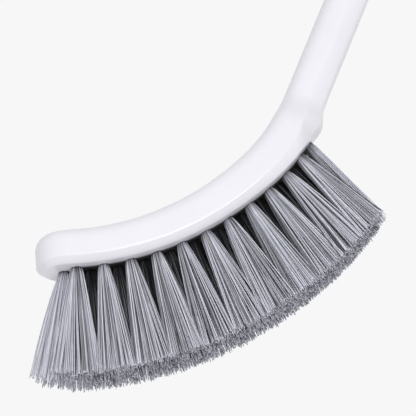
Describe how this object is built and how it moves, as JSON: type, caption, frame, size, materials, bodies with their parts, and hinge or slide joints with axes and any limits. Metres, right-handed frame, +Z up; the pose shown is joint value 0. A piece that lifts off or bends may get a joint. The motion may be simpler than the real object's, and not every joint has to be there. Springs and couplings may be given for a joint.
{
  "type": "toilet rim brush",
  "caption": "White toilet rim brush: slim straight handle with a hang hole, and a narrow head curved like a sickle with rows of fanned stiff grey bristle tufts on its outer side.",
  "frame": {"origin": "centre of the hang hole near the top of the handle; the brush hangs straight down from it", "axes": "+Z up along the straight handle, towards its hanging end; -X the way the head sweeps round; bristles towards +X and -Z; +Y across the head, out of its far side"},
  "size_m": [0.1252, 0.0244, 0.3964],
  "materials": {
    "white_polypropylene": "gloss",
    "grey_bristle": "satin",
    "staple_steel": "satin"
  },
  "bodies": {
    "root": {"handle_and_head": "white_polypropylene", "tuft_near_01": "grey_bristle", "tuft_near_02": "grey_bristle", "tuft_near_03": "grey_bristle", "tuft_near_04": "grey_bristle", "tuft_near_05": "grey_bristle", "tuft_near_06": "grey_bristle", "tuft_near_07": "grey_bristle", "tuft_near_08": "grey_bristle", "tuft_near_09": "grey_bristle", "tuft_near_10": "grey_bristle", "tuft_near_11": "grey_bristle", "tuft_middle_01": "grey_bristle", "tuft_middle_02": "grey_bristle", "tuft_middle_03": "grey_bristle", "tuft_middle_04": "grey_bristle", "tuft_middle_05": "grey_bristle", "tuft_middle_06": "grey_bristle", "tuft_middle_07": "grey_bristle", "tuft_middle_08": "grey_bristle", "tuft_middle_09": "grey_bristle", "tuft_middle_10": "grey_bristle", "tuft_middle_11": "grey_bristle", "tuft_middle_12": "grey_bristle", "tuft_far_01": "grey_bristle", "tuft_far_02": "grey_bristle", "tuft_far_03": "grey_bristle", "tuft_far_04": "grey_bristle", "tuft_far_05": "grey_bristle", "tuft_far_06": "grey_bristle", "tuft_far_07": "grey_bristle", "tuft_far_08": "grey_bristle", "tuft_far_09": "grey_bristle", "tuft_far_10": "grey_bristle", "tuft_far_11": "grey_bristle", "staple_near_01": "staple_steel", "staple_near_02": "staple_steel", "staple_near_03": "staple_steel", "staple_near_04": "staple_steel", "staple_near_05": "staple_steel", "staple_near_06": "staple_steel", "staple_near_07": "staple_steel", "staple_near_08": "staple_steel", "staple_near_09": "staple_steel", "staple_near_10": "staple_steel", "staple_near_11": "staple_steel", "staple_middle_01": "staple_steel", "staple_middle_02": "staple_steel", "staple_middle_03": "staple_steel", "staple_middle_04": "staple_steel", "staple_middle_05": "staple_steel", "staple_middle_06": "staple_steel", "staple_middle_07": "staple_steel", "staple_middle_08": "staple_steel", "staple_middle_09": "staple_steel", "staple_middle_10": "staple_steel", "staple_middle_11": "staple_steel", "staple_middle_12": "staple_steel"}
  },
  "joints": []
}
